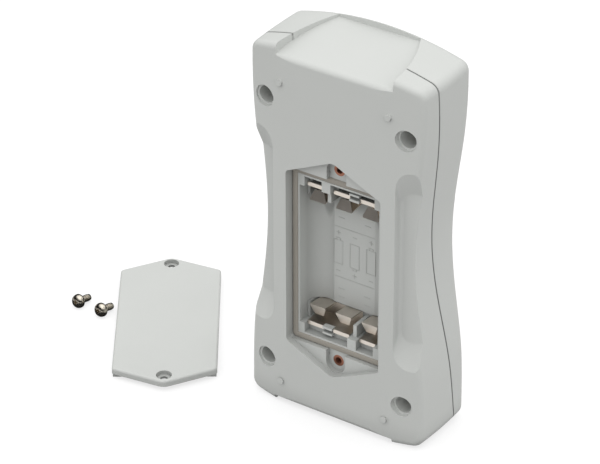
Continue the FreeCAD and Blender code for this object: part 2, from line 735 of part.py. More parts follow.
def contact(sign, centre, width):
    """Plate with a folded rim, base strip, and one spring tongue with a tapered end for each cell."""
    plate_at = size("shelf_start") - size("sheet") / 2
    fold = size("fold_depth")
    base = size("contact_floor") - size("sheet") / 2
    root_at = size("contact_start") + 0.4
    ridge_at = size("ridge_reach")
    tip_at = size("tip_reach")
    half = width / 2
    profile = [(plate_at + 1.3, fold), (plate_at, fold), (plate_at, base), (root_at, base)]
    solid = folded(profile, centre - half, centre + half, sign)
    pitch = size("cell_pitch")
    cells = [centre] if width < pitch else [centre - pitch / 2, centre + pitch / 2]
    reach = size("tongue_width") / 2
    for cell in cells:
        ridge = (ridge_at, size("ridge_depth"))
        tip = (tip_at, size("tip_depth"))
        path = [(root_at + 0.6, base), (root_at, base), ridge, tip]
        tongue = folded(path, cell - reach, cell + reach, sign)
        taper = (size("tongue_width") - size("tip_width")) / 2
        for side in (1, -1):
            trim = [
                (cell + side * reach, BAY_Z + sign * (ridge_at + 0.5)),
                (cell + side * (reach + 1), BAY_Z + sign * (ridge_at + 0.5)),
                (cell + side * (reach + 1), BAY_Z + sign * (tip_at + 1)),
                (cell + side * (reach - taper), BAY_Z + sign * (tip_at + 0.2)),
            ]
            tongue = tongue.cut(prism(trim, at_depth(ridge[1] - 2), at_depth(tip[1] + 1)))
        solid = solid.fuse(tongue)
    if len(cells) == 2:
        notch = size("cap_width") / 2 + size("fit_gap")
        z0, z1 = sorted((BAY_Z + sign * (plate_at - 1), BAY_Z + sign * (plate_at + 3)))
        solid = solid.cut(box(centre - notch, centre + notch, at_depth(5.0), at_depth(7.7), z0, z1))
    return solid.removeSplitter()


# Sub-parts as objects of the document

def add_feature(label, shape):
    """A sub-part whose shape is made by the functions above."""
    feature = DOCUMENT.addObject("Part::Feature", label)
    feature.Label = label
    if shape.ShapeType == "Compound" and len(shape.Solids) == 1:
        shape = shape.Solids[0]
    feature.Shape = shape
    feature.Placement = Placement()
    return feature


def origin_plane(body, role):
    return [item for item in body.Origin.OriginFeatures if item.Role == role][0]


def add_sketch(body, name, role, loops, raised=None):
    """A sketch of closed loops. Each point is two pairs of factor and alias, bound to the sheet."""
    sketch = body.newObject("Sketcher::SketchObject", name)
    sketch.AttachmentSupport = [(origin_plane(body, role), "")]
    sketch.MapMode = "FlatFace"
    if raised:
        sketch.setExpression("AttachmentOffset.Base.z", f"sizes.{raised}")
    for loop in loops:
        start = sketch.GeometryCount
        corners = [Vector(fx * size(ax), fy * size(ay), 0) for (fx, ax), (fy, ay) in loop]
        for index, corner in enumerate(corners):
            following = corners[(index + 1) % len(corners)]
            sketch.addGeometry(Part.LineSegment(corner, following), False)
        for index, ((fx, ax), (fy, ay)) in enumerate(loop):
            line = start + index
            following = start + (index + 1) % len(loop)
            sketch.addConstraint(Sketcher.Constraint("Coincident", line, 2, following, 1))
            for kind, factor, alias in (("DistanceX", fx, ax), ("DistanceY", fy, ay)):
                value = factor * size(alias)
                number = sketch.addConstraint(Sketcher.Constraint(kind, -1, 1, line, 1, value))
                sketch.setExpression(f"Constraints[{number}]", f"{factor} * sizes.{alias}")
    return sketch


def add_circles(body, name, role, circles, raised=None):
    """A sketch of circles on the vertical axis, each as a radius alias and a signed height alias."""
    sketch = body.newObject("Sketcher::SketchObject", name)
    sketch.AttachmentSupport = [(origin_plane(body, role), "")]
    sketch.MapMode = "FlatFace"
    if raised:
        sketch.setExpression("AttachmentOffset.Base.z", f"sizes.{raised}")
    for radius, factor, height in circles:
        centre = Vector(0, factor * size(height), 0)
        circle = sketch.addGeometry(Part.Circle(centre, Vector(0, 0, 1), size(radius)), False)
        number = sketch.addConstraint(Sketcher.Constraint("Radius", circle, size(radius)))
        sketch.setExpression(f"Constraints[{number}]", f"sizes.{radius}")
        sketch.addConstraint(Sketcher.Constraint("PointOnObject", circle, 3, -2))
        number = sketch.addConstraint(Sketcher.Constraint("DistanceY", -1, 1, circle, 3, centre.y))
        sketch.setExpression(f"Constraints[{number}]", f"{factor} * sizes.{height}")
    return sketch


def add_pad(body, name, sketch, length, backwards=False):
    pad = body.newObject("PartDesign::Pad", name)
    pad.Profile = sketch
    pad.setExpression("Length", f"sizes.{length}")
    pad.Reversed = backwards
    DOCUMENT.recompute()
    return pad


def add_pocket(body, name, sketch, length=None, backwards=False):
    """A pocket of a stated depth, or through everything. It has to take material away."""
    before = body.Shape.Volume
    pocket = body.newObject("PartDesign::Pocket", name)
    pocket.Profile = sketch
    pocket.Reversed = backwards
    if length:
        pocket.setExpression("Length", f"sizes.{length}")
    else:
        pocket.Type = "ThroughAll"
        pocket.Midplane = True
    DOCUMENT.recompute()
    if body.Shape.Volume >= before - 0.01:
        raise ValueError(f"{name} cuts nothing")
    return pocket


def add_round(body, name, radius, test):
    """A fillet on the edges of the body's last feature that pass a test."""
    tip = body.Tip
    names = [f"Edge{index}" for index, edge in enumerate(tip.Shape.Edges, start=1) if test(edge)]
    fillet = body.newObject("PartDesign::Fillet", name)
    fillet.Base = (tip, names)
    fillet.setExpression("Radius", f"sizes.{radius}")
    DOCUMENT.recompute()
    return fillet


def upright(edge):
    """Whether an edge is a straight one along the sketch's normal."""
    ends = [vertex.Point for vertex in edge.Vertexes]
    return len(ends) == 2 and math.hypot(ends[0].x - ends[1].x, ends[0].y - ends[1].y) < 1e-4


def add_cover():
    """The battery cover: six-sided plate with soft edges, a locating lip and two screw pockets."""
    body = DOCUMENT.addObject("PartDesign::Body", "battery_cover")
    body.Label = "battery_cover"
    half, corner, peak = "cover_half", "cover_corner", "cover_peak"
    plate = add_sketch(body, "cover_outline", "XY_Plane", [[
        ((1, half), (1, corner)), ((0, half), (1, peak)), ((-1, half), (1, corner)),
        ((-1, half), (-1, corner)), ((0, half), (-1, peak)), ((1, half), (-1, corner)),
    ]])
    add_pad(body, "cover_plate", plate, "cover_thick")
    add_round(body, "cover_ends", "cover_ear_radius",
              lambda edge: upright(edge) and abs(edge.Vertexes[0].Point.x) < 0.1)
    add_round(body, "cover_corners", "recess_round",
              lambda edge: upright(edge) and abs(abs(edge.Vertexes[0].Point.x) - size(half)) < 0.01)
    top = size("cover_thick")
    add_round(body, "cover_soft_edge", "cover_edge",
              lambda edge: all(abs(vertex.Point.z - top) < 0.01 for vertex in edge.Vertexes))
    lip = add_sketch(body, "lip_outline", "XY_Plane", [
        rectangle("lip_half", "lip_half_long"),
        rectangle("lip_inner", "lip_inner_long"),
    ])
    add_pad(body, "cover_lip", lip, "lip_height", backwards=True)
    ends = [(1, "insert_pitch_half"), (-1, "insert_pitch_half")]
    pockets = add_circles(body, "pocket_places", "XY_Plane",
                          [("head_pocket", sign, place) for sign, place in ends], raised="cover_thick")
    add_pocket(body, "screw_pockets", pockets, "head_pocket_depth")
    circles = [("cover_hole", sign, place) for sign, place in ends]
    add_pocket(body, "screw_holes", add_circles(body, "hole_places", "XY_Plane", circles))
    turn = Rotation(Vector(0, 0, 1), size("cover_turn"))
    body.Placement = Placement(Vector(size("cover_x"), size("cover_y"), size("lip_height")), turn)
    return body


def rectangle(half_x, half_y):
    """The four corners of a centred rectangle, as bound points."""
    signs = ((1, 1), (-1, 1), (-1, -1), (1, -1))
    return [((sign_x, half_x), (sign_y, half_y)) for sign_x, sign_y in signs]


def add_gasket():
    """The battery gasket: a ring with a rounded crown, pressed into its channel."""
    body = DOCUMENT.addObject("PartDesign::Body", "battery_gasket")
    body.Label = "battery_gasket"
    ring = add_sketch(body, "gasket_outline", "XY_Plane", [
        rectangle("recess_half", "gasket_half_z"),
        rectangle("gasket_inner", "gasket_inner_z"),
    ])
    add_pad(body, "gasket_ring", ring, "gasket_thick")
    add_round(body, "gasket_corners", "recess_round",
              lambda edge: upright(edge) and abs(abs(edge.Vertexes[0].Point.x) - size("recess_half")) < 0.01)
    crown = size("gasket_thick")
    add_round(body, "gasket_crown", "gasket_round",
              lambda edge: all(abs(vertex.Point.z - crown) < 0.01 for vertex in edge.Vertexes))
    facing_out = Rotation(Vector(1, 0, 0), 90)
    body.Placement = Placement(Vector(0, at_depth(size("gasket_floor")), BAY_Z), facing_out)
    return body


def add_screw(label, kind, placement):
    """A pan-head screw with a cross recess. Its origin is under the head, on the axis."""
    body = DOCUMENT.addObject("PartDesign::Body", label)
    body.Label = label
    head, tall, shank, length, edge_round = kind
    profile = add_sketch(body, f"{label}_profile", "XZ_Plane", [[
        ((0, head), (1, tall)), ((1, head), (1, tall)), ((1, head), (0, tall)),
        ((1, shank), (0, tall)), ((1, shank), (-1, length)), ((0, head), (-1, length)),
    ]])
    turned = body.newObject("PartDesign::Revolution", f"{label}_turned")
    turned.Profile = profile
    turned.ReferenceAxis = (profile, ["V_Axis"])
    turned.Angle = 360
    DOCUMENT.recompute()
    add_round(body, f"{label}_dome", edge_round, lambda edge: is_ring(edge, size(head), size(tall)))
    reach, half = "drive_reach", "drive_half"
    cross = [
        ((1, half), (1, reach)), ((-1, half), (1, reach)), ((-1, half), (1, half)),
        ((-1, reach), (1, half)), ((-1, reach), (-1, half)), ((-1, half), (-1, half)),
        ((-1, half), (-1, reach)), ((1, half), (-1, reach)), ((1, half), (-1, half)),
        ((1, reach), (-1, half)), ((1, reach), (1, half)), ((1, half), (1, half)),
    ]
    drive = add_sketch(body, f"{label}_cross", "XY_Plane", [cross], raised=tall)
    add_pocket(body, f"{label}_drive", drive, "drive_depth")
    body.Placement = placement
    return body


def is_ring(edge, radius, height):
    curve = edge.Curve
    return (isinstance(curve, Part.Circle) and abs(curve.Radius - radius) < 0.01
            and abs(curve.Center.z - height) < 0.01)


def add_insert(label, radius, bore, length, x, depth, z):
    """A threaded insert: a bush with its bore, its open face towards the back."""
    outer = DOCUMENT.addObject("Part::Cylinder", f"{label}_blank")
    outer.setExpression("Radius", f"sizes.{radius}")
    outer.setExpression("Height", f"sizes.{length}")
    inner = DOCUMENT.addObject("Part::Cylinder", f"{label}_bore")
    inner.setExpression("Radius", f"sizes.{bore}")
    inner.setExpression("Height", f"sizes.{length}")
    bush = DOCUMENT.addObject("Part::Cut", label)
    bush.Label = label
    bush.Base = outer
    bush.Tool = inner
    bush.Placement = Placement(Vector(x, at_depth(depth), z), Rotation(Vector(1, 0, 0), -90))
    return bush


def resting_screw(head_x, head_y):
    """A screw on its side on the surface: the rim of its head and the end of its shank touch it."""
    lean = math.degrees(math.atan2(size("head_radius") - size("shank_radius"), size("shank_length")))
    on_side = Rotation(Vector(1, 0, 0), 90 - lean)
    radius = size("head_radius") * math.cos(math.radians(lean))
    return Placement(Vector(head_x, head_y, radius), on_side)


def add_all():
    outer, back_blank, front_blank = shells()
    front = front_shell(front_blank)
    back = back_shell(outer, back_blank).cut(front)
    made = [
        add_feature("back_shell", back),
        add_feature("front_shell", front),
        add_gasket(),
        add_cover(),
    ]
    for sign, end in ((1, "top"), (-1, "bottom")):
        for (centre, width), kind in zip(contact_spans(sign), ("double", "single")):
            made.append(add_feature(f"contact_{end}_{kind}", contact(sign, centre, width)))
        z = BAY_Z + sign * size("insert_pitch_half")
        made.append(add_insert(f"cover_insert_{end}", "insert_radius", "insert_bore", "insert_length",
                               0, size("insert_depth"), z))
    case_kind = ("case_head_radius", "case_head_height", "case_shank_radius", "case_shank_length",
                 "head_edge")
    facing_back = Rotation(Vector(1, 0, 0), 90)
    for number, (x, z) in enumerate(screw_places(), start=1):
        seat = Placement(Vector(x, at_depth(size("seat_depth")), z), facing_back)
        made.append(add_screw(f"case_screw_{number}", case_kind, seat))
        made.append(add_insert(f"case_insert_{number}", "case_insert_radius", "case_insert_bore",
                               "case_insert_length", x, size("boss_end"), z))
    cover_kind = ("head_radius", "head_height", "shank_radius", "shank_length", "dome_edge")
    for number, name in enumerate(("one", "two"), start=1):
        resting = resting_screw(size(f"screw_{name}_x"), size(f"screw_{name}_y"))
        made.append(add_screw(f"cover_screw_{number}", cover_kind, resting))
    return made


def check_document(sub_parts):
    """Nothing is written unless every object is sound."""
    for item in DOCUMENT.Objects:
        if "Invalid" in item.State or "Error" in item.State:
            raise ValueError(f"{item.Name} failed: {item.State}")
    for item in sub_parts:
        if item.Shape.isNull() or not item.Shape.isValid():
            raise ValueError(f"{item.Label} has no sound shape")
        if len(item.Shape.Solids) != 1:
            raise ValueError(f"{item.Label} has {len(item.Shape.Solids)} solids")


SUB_PARTS = add_all()
DOCUMENT.recompute()
check_document(SUB_PARTS)
os.makedirs("parts", exist_ok=True)
for sub_part in SUB_PARTS:
    sub_part.Shape.exportStep(f"parts/{sub_part.Label}.step")
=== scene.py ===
import math

import bpy
from bpy.props import FloatProperty, FloatVectorProperty, PointerProperty
from mathutils import Euler, Matrix, Vector


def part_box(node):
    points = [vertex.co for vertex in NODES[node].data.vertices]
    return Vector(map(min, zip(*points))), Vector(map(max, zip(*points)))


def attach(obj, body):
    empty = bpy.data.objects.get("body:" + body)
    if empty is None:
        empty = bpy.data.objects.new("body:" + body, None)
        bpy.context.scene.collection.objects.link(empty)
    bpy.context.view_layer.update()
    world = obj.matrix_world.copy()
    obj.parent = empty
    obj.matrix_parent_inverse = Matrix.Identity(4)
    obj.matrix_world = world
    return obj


bl_info = {
    "name": "Handheld enclosure finish",
    "version": (1, 0, 0),
    "blender": (4, 5, 0),
    "location": "3D View > Sidebar > Enclosure",
    "description": "Finishes, fine detail and studio for a handheld electronics enclosure",
    "category": "Object",
}

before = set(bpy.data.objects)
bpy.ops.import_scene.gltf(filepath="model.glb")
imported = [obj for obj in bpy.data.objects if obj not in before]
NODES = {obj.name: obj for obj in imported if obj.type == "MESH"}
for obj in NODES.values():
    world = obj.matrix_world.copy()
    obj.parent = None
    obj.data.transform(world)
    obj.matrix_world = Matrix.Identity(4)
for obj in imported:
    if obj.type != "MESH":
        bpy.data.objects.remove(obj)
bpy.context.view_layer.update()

BODY = "root"
MM = 0.001

SHELL_NODES = ("back_shell", "front_shell")
CONTACT_NODES = tuple(name for name in NODES if name.startswith("contact_"))
INSERT_NODES = tuple(name for name in NODES if "insert" in name)
COVER_INSERT_NODES = ("cover_insert_top", "cover_insert_bottom")
CASE_SCREW_NODES = tuple(name for name in NODES if name.startswith("case_screw_"))
LOOSE_SCREW_NODES = tuple(name for name in NODES if name.startswith("cover_screw_"))


def linear(red, green, blue):
    """A colour given as 0 to 255 screen values, as Blender's linear values."""
    def convert(value):
        share = value / 255
        if share <= 0.04045:
            return share / 12.92
        return ((share + 0.055) / 1.055) ** 2.4
    return tuple(convert(value) for value in (red, green, blue))


# Settings

def colour_setting(label, text, default):
    return FloatVectorProperty(name=label, description=text, subtype="COLOR", size=3, min=0, max=1,
                               default=default)


def place_setting(label, text, default):
    return FloatVectorProperty(name=label, description=text, subtype="XYZ", unit="LENGTH",
                               default=default)


def length_setting(label, text, default):
    return FloatProperty(name=label, description=text, unit="LENGTH", subtype="DISTANCE",
                         default=default)


def angle_setting(label, text, default):
    return FloatProperty(name=label, description=text, subtype="ANGLE", default=default)


def share_setting(label, text, default):
    return FloatProperty(name=label, description=text, subtype="FACTOR", min=0, max=1,
                         default=default)


class CasePlasticSettings(bpy.types.PropertyGroup):
    """Moulded plastic of the two shells and the battery cover."""
    colour: colour_setting("Colour", "Colour of the moulded plastic", linear(192, 194, 191))
    roughness: share_setting("Roughness", "Middle roughness of the fine moulded grain", 0.5)
    grain_size: length_setting("Grain size", "Width of one bump of the fine moulded grain", 0.28 * MM)
    grain_depth: length_setting("Grain depth", "Depth of the fine moulded grain", 0.006 * MM)
    tone: share_setting("Tone", "How far the colour drifts across the moulding", 0.025)
    # Painted shade in the recesses of the moulding, from ambient occlusion
    recess_shade: share_setting("Recess shade", "How much darker the moulding is in its recesses", 0.46)
    recess_reach: length_setting("Recess reach", "How far the walls of a recess shade it", 10.0 * MM)
    # Painted shade along the groove of the parting line
    seam_shade: share_setting("Seam shade", "How much darker the moulding is at the parting line", 0.3)
    seam_width: length_setting("Seam width", "Width of the darker line", 1.2 * MM)
    seam_centre: length_setting("Seam centre", "Place of the groove along Y at the datum", 0.2 * MM)
    seam_datum: length_setting("Seam datum", "Height at which the groove is measured", 69.8 * MM)
    seam_slope: FloatProperty(name="Seam slope", description="Lean of the groove at the datum",
                              default=-0.1)
    seam_bow: FloatProperty(name="Seam bow", description="Bow of the groove, for each metre",
                            default=0.25)
    panel_half: length_setting("Panel half width",
                               "Half width of the end panel where the seam meets it", 22.6 * MM)
    panel_foot: length_setting("Panel foot", "Height above which the seam stops at the end panel",
                               130 * MM)
    bore_radius: length_setting("Bore radius", "Radius of the screw bores", 4.2 * MM)


class RubberSettings(bpy.types.PropertyGroup):
    """Rubber of the battery gasket."""
    colour: colour_setting("Colour", "Colour of the gasket", linear(150, 145, 136))
    roughness: share_setting("Roughness", "Middle roughness of the gasket", 0.62)
    grain_size: length_setting("Grain size", "Width of the fine bloom on the rubber", 0.5 * MM)
    grain_depth: length_setting("Grain depth", "Depth of that bloom", 0.01 * MM)
    tone: share_setting("Tone", "How far the colour drifts along the gasket", 0.08)


class ContactSettings(bpy.types.PropertyGroup):
    """Plated spring sheet of the battery contacts."""
    colour: colour_setting("Colour", "Colour of the plated sheet", linear(218, 210, 200))
    roughness: share_setting("Roughness", "Middle roughness of the rolled sheet", 0.34)
    streak: length_setting("Streak width", "Width of the rolling streaks", 0.12 * MM)
    streak_depth: length_setting("Streak depth", "Depth of the rolling streaks", 0.002 * MM)


class InsertSettings(bpy.types.PropertyGroup):
    """Threaded inserts of the cover and the case."""
    colour: colour_setting("Colour", "Colour of the insert metal", linear(150, 104, 86))
    roughness: share_setting("Roughness", "Middle roughness of the turned metal", 0.34)
    streak: length_setting("Streak width", "Width of the turning marks", 0.08 * MM)
    streak_depth: length_setting("Streak depth", "Depth of the turning marks", 0.002 * MM)
    thread_pitch: length_setting("Thread pitch", "Pitch of the thread in a cover insert", 0.45 * MM)
    thread_depth: length_setting("Thread depth", "Half height of the thread ridge", 0.16 * MM)
    bore_radius: length_setting("Bore radius", "Radius of the bore of a cover insert", 1.25 * MM)
    thread_start: length_setting("Thread start", "From the face to the first turn", 0.2 * MM)
    thread_end: length_setting("Thread end", "From the last turn to the far end", 0.4 * MM)


class ScrewSettings(bpy.types.PropertyGroup):
    """Case screws and the two loose cover screws."""
    colour: colour_setting("Colour", "Colour of the plated steel", linear(228, 220, 205))
    roughness: share_setting("Roughness", "Middle roughness of the plated steel", 0.24)
    streak: length_setting("Streak width", "Width of the turning marks", 0.1 * MM)
    streak_depth: length_setting("Streak depth", "Depth of the turning marks", 0.002 * MM)
    thread_pitch: length_setting("Thread pitch", "Pitch of the thread of a cover screw", 0.45 * MM)
    thread_depth: length_setting("Thread depth", "Half height of the thread ridge", 0.13 * MM)
    shank_radius: length_setting("Shank radius", "Radius of the shank of a cover screw", 1.25 * MM)
    shank_length: length_setting("Shank length", "Length of the shank of a cover screw", 6.0 * MM)
    thread_start: length_setting("Thread start", "From the head to the first turn", 0.8 * MM)
    thread_end: length_setting("Thread end", "From the last turn to the end of the shank", 0.7 * MM)


class CellMarkSettings(bpy.types.PropertyGroup):
    """Small raised outlines on the bay floor that show how the cells go in, with a few short ribs."""
    floor: length_setting("Floor", "Place of the flat bay floor along Y", -1.3 * MM)
    middle: length_setting("Middle", "Height of the middle of the outlines", 61.5 * MM)
    pitch: length_setting("Pitch", "From one outline to the next", 6.8 * MM)
    width: length_setting("Width", "Width of one outline", 3.7 * MM)
    height: length_setting("Height", "Height of one outline without its knob", 9.6 * MM)
    line: length_setting("Line", "Width of the raised line", 0.28 * MM)
    proud: length_setting("Proud", "Height of the raised line", 0.12 * MM)
    knob_share: share_setting("Knob share", "Width of the knob as a share of the outline", 0.45)
    knob_rise: length_setting("Knob rise", "Height of the knob", 0.9 * MM)
    sign_arm: length_setting("Sign arm", "Half length of an arm of a plus or minus", 0.8 * MM)
    plus_gap: length_setting("Plus gap", "From the knob to the middle of the plus", 2.2 * MM)
    minus_gap: length_setting("Minus gap", "From the outline to the minus", 2.9 * MM)
    border_half: length_setting("Border half width",
                                "Half length of the line above and below the outlines", 8.4 * MM)
    border_rise: length_setting("Border rise", "From the middle to the line above or below",
                                10.2 * MM)
    rib_half: length_setting("Rib half length", "Half length of a short rib", 1.2 * MM)
    rib_share: share_setting("Rib share", "From the middle to a short rib, as a share of the pitch",
                             0.8)
    rib_rises: FloatVectorProperty(name="Rib rises", unit="LENGTH",
                                   description="From the middle up to each pair of short ribs",
                                   default=(14.2 * MM, -14.8 * MM, -18.2 * MM))


class StudioSettings(bpy.types.PropertyGroup):
    """Camera, lamp, even light, floor and the dark cards that metal reflects, the one under the loose
    screws a painted shadow.
    """
    place: place_setting("Camera", "Place of the camera", (0.4959, -0.7556, 0.6124))
    turn: angle_setting("Turn", "Turn of the camera round the vertical", math.radians(34.53))
    tilt: angle_setting("Tilt", "How far the camera looks down", math.radians(30.92))
    roll: angle_setting("Roll", "Roll of the camera", math.radians(-0.128))
    lens: FloatProperty(name="Lens", description="Focal length", subtype="DISTANCE_CAMERA",
                        default=182.0)
    sensor: FloatProperty(name="Sensor", description="Width of the camera's sensor",
                          subtype="DISTANCE_CAMERA", default=36.0)
    far_clip: length_setting("Far clip", "How far the camera sees", 100.0)
    sky: FloatProperty(name="Sky", description="Level of the even light all round", default=1.28)
    lamp_power: FloatProperty(name="Overhead lamp", description="Power of the overhead lamp",
                              unit="POWER", default=1.5)
    lamp_size: length_setting("Lamp size", "Side of the square overhead lamp", 1.0)
    lamp_place: place_setting("Lamp place", "Place of the overhead lamp", (0.1, -0.1, 1.1))
    lamp_aim: length_setting("Lamp aim", "Height that the overhead lamp points at", 0.07)
    floor_reach: length_setting("Floor reach", "Half side of the square floor", 4.0)
    floor_colour: colour_setting("Floor colour", "Colour of the floor", (0.3, 0.3, 0.3))
    floor_lift: FloatProperty(name="Floor lift", description="Light added to the floor as it is seen",
                              default=0.7)
    card_reach: length_setting("Card reach", "From the middle to the dark card that metal reflects",
                               0.35)
    card_height: length_setting("Card height", "Height of the dark card", 0.28)
    # The card under the screws is a painted shadow that only their reflections see
    card_spread: length_setting("Card spread", "How far the card under the screws reaches past them",
                                0.03)
    card_level: length_setting("Card level", "Height of the card under the screws", 0.02 * MM)
    card_colour: colour_setting("Card colour", "Colour of both dark cards", (0.02, 0.02, 0.02))


# Shader node groups

def new_group(name, inputs, outputs):
    """A shader node group with named sockets. Returns the tree, its input node and its output node."""
    tree = bpy.data.node_groups.new(name, "ShaderNodeTree")
    for label, kind, default in inputs:
        socket = tree.interface.new_socket(label, in_out="INPUT", socket_type=kind)
        if default is not None:
            socket.default_value = default
    for label, kind in outputs:
        tree.interface.new_socket(label, in_out="OUTPUT", socket_type=kind)
    return tree, tree.nodes.new("NodeGroupInput"), tree.nodes.new("NodeGroupOutput")


def add_math(tree, operation, *operands):
    """A Math node. Each operand is a socket or a number. Returns its output."""
    node = tree.nodes.new("ShaderNodeMath")
    node.operation = operation
    for socket, value in zip(node.inputs, operands):
        if isinstance(value, bpy.types.NodeSocket):
            tree.links.new(value, socket)
        else:
            socket.default_value = value
    return node.outputs[0]


def add_noise(tree, vector, scale, detail=2.0, roughness=0.5):
    """A noise texture. The scale is a socket or a number. Returns its value output."""
    noise = tree.nodes.new("ShaderNodeTexNoise")
    noise.inputs["Detail"].default_value = detail
    noise.inputs["Roughness"].default_value = roughness
    tree.links.new(vector, noise.inputs["Vector"])
    if isinstance(scale, bpy.types.NodeSocket):
        tree.links.new(scale, noise.inputs["Scale"])
    else:
        noise.inputs["Scale"].default_value = scale
    return noise.outputs["Fac"]


def add_tint(tree, colour, factor):
    """A colour multiplied by a grey value. Returns the colour output."""
    mix = tree.nodes.new("ShaderNodeMix")
    mix.data_type = "RGBA"
    mix.blend_type = "MULTIPLY"
    mix.inputs["Factor"].default_value = 1.0
    tree.links.new(colour, mix.inputs["A"])
    tree.links.new(factor, mix.inputs["B"])
    return mix.outputs["Result"]


def drift(tree, value, amount):
    """A noise value turned into one plus or minus an amount. Returns the output."""
    centred = add_math(tree, "SUBTRACT", value, 0.5)
    doubled = add_math(tree, "MULTIPLY", centred, 2.0)
    scaled = add_math(tree, "MULTIPLY", doubled, amount)
    return add_math(tree, "ADD", scaled, 1.0)


def moulded_grain():
    """Fine even grain with a slow drift of tone, as on a moulded part."""
    tree, start, end = new_group(
        "Moulded grain",
        [("Vector", "NodeSocketVector", None), ("Colour", "NodeSocketColor", None),
         ("Roughness", "NodeSocketFloat", 0.5), ("Grain Scale", "NodeSocketFloat", 3000.0),
         ("Tone", "NodeSocketFloat", 0.03)],
        [("Colour", "NodeSocketColor"), ("Roughness", "NodeSocketFloat"),
         ("Height", "NodeSocketFloat")],
    )
    vector = start.outputs["Vector"]
    clouds_per_metre = 35.0
    grain_tone = 0.03
    grain_gloss = 0.16
    cloud_gloss = 0.06
    clouds = add_noise(tree, vector, clouds_per_metre)
    grain = add_noise(tree, vector, start.outputs["Grain Scale"], detail=3.0, roughness=0.6)
    tone = drift(tree, clouds, start.outputs["Tone"])
    shade = add_math(tree, "MULTIPLY", tone, drift(tree, grain, grain_tone))
    rough = add_math(tree, "MULTIPLY", start.outputs["Roughness"], drift(tree, grain, grain_gloss))
    rough = add_math(tree, "MULTIPLY", rough, drift(tree, clouds, cloud_gloss))
    tree.links.new(add_tint(tree, start.outputs["Colour"], shade), end.inputs["Colour"])
    tree.links.new(rough, end.inputs["Roughness"])
    tree.links.new(grain, end.inputs["Height"])
    return tree


def seam_shade():
    """The mask of the painted shade in the groove of the parting line: one on the inner half of the
    line, falling to 0 at its sides, and 0 on the end panel.
    """
    tree, start, end = new_group(
        "Seam shade",
        [("Vector", "NodeSocketVector", None), ("Centre", "NodeSocketFloat", 0.0),
         ("Datum", "NodeSocketFloat", 0.07), ("Slope", "NodeSocketFloat", 0.0),
         ("Bow", "NodeSocketFloat", 0.0), ("Width", "NodeSocketFloat", 0.001),
         ("Panel Half", "NodeSocketFloat", 0.02), ("Panel Foot", "NodeSocketFloat", 0.13)],
        [("Mask", "NodeSocketFloat")],
    )
    place = tree.nodes.new("ShaderNodeSeparateXYZ")
    tree.links.new(start.outputs["Vector"], place.inputs["Vector"])
    rise = add_math(tree, "SUBTRACT", place.outputs["Z"], start.outputs["Datum"])
    lean = add_math(tree, "MULTIPLY", rise, start.outputs["Slope"])
    bow = add_math(tree, "MULTIPLY", add_math(tree, "MULTIPLY", rise, rise), start.outputs["Bow"])
    line = add_math(tree, "ADD", start.outputs["Centre"], add_math(tree, "ADD", lean, bow))
    away = add_math(tree, "ABSOLUTE", add_math(tree, "SUBTRACT", place.outputs["Y"], line))
    share = add_math(tree, "DIVIDE", away, add_math(tree, "DIVIDE", start.outputs["Width"], 2.0))
    inside = add_math(tree, "MAXIMUM", add_math(tree, "SUBTRACT", 1.0, share), 0.0)
    band = add_math(tree, "MINIMUM", add_math(tree, "MULTIPLY", inside, 2.0), 1.0)
    side = add_math(tree, "ABSOLUTE", place.outputs["X"])
    beside = add_math(tree, "GREATER_THAN", side, start.outputs["Panel Half"])
    under = add_math(tree, "LESS_THAN", place.outputs["Z"], start.outputs["Panel Foot"])
    off_panel = add_math(tree, "MAXIMUM", beside, under)
    tree.links.new(add_math(tree, "MULTIPLY", band, off_panel), end.inputs["Mask"])
    return tree


def light_recesses():
    """One in the recesses that take no painted shade: the four screw bores and the recess of the end
    panel.
    """
    tree, start, end = new_group(
        "Light recesses",
        [("Vector", "NodeSocketVector", None), ("Half Span", "NodeSocketFloat", 0.02),
         ("Middle", "NodeSocketFloat", 0.07), ("Half Rise", "NodeSocketFloat", 0.05),
         ("Radius", "NodeSocketFloat", 0.004), ("Panel Foot", "NodeSocketFloat", 0.13)],
        [("Mask", "NodeSocketFloat")],
    )
    place = tree.nodes.new("ShaderNodeSeparateXYZ")
    tree.links.new(start.outputs["Vector"], place.inputs["Vector"])
    side = add_math(tree, "ABSOLUTE", place.outputs["X"])
    side = add_math(tree, "SUBTRACT", side, start.outputs["Half Span"])
    rise = add_math(tree, "SUBTRACT", place.outputs["Z"], start.outputs["Middle"])
    rise = add_math(tree, "SUBTRACT", add_math(tree, "ABSOLUTE", rise), start.outputs["Half Rise"])
    side_square = add_math(tree, "MULTIPLY", side, side)
    rise_square = add_math(tree, "MULTIPLY", rise, rise)
    away = add_math(tree, "SQRT", add_math(tree, "ADD", side_square, rise_square))
    in_bore = add_math(tree, "LESS_THAN", away, start.outputs["Radius"])
    by_panel = add_math(tree, "GREATER_THAN", place.outputs["Z"], start.outputs["Panel Foot"])
    tree.links.new(add_math(tree, "MAXIMUM", in_bore, by_panel), end.inputs["Mask"])
    return tree


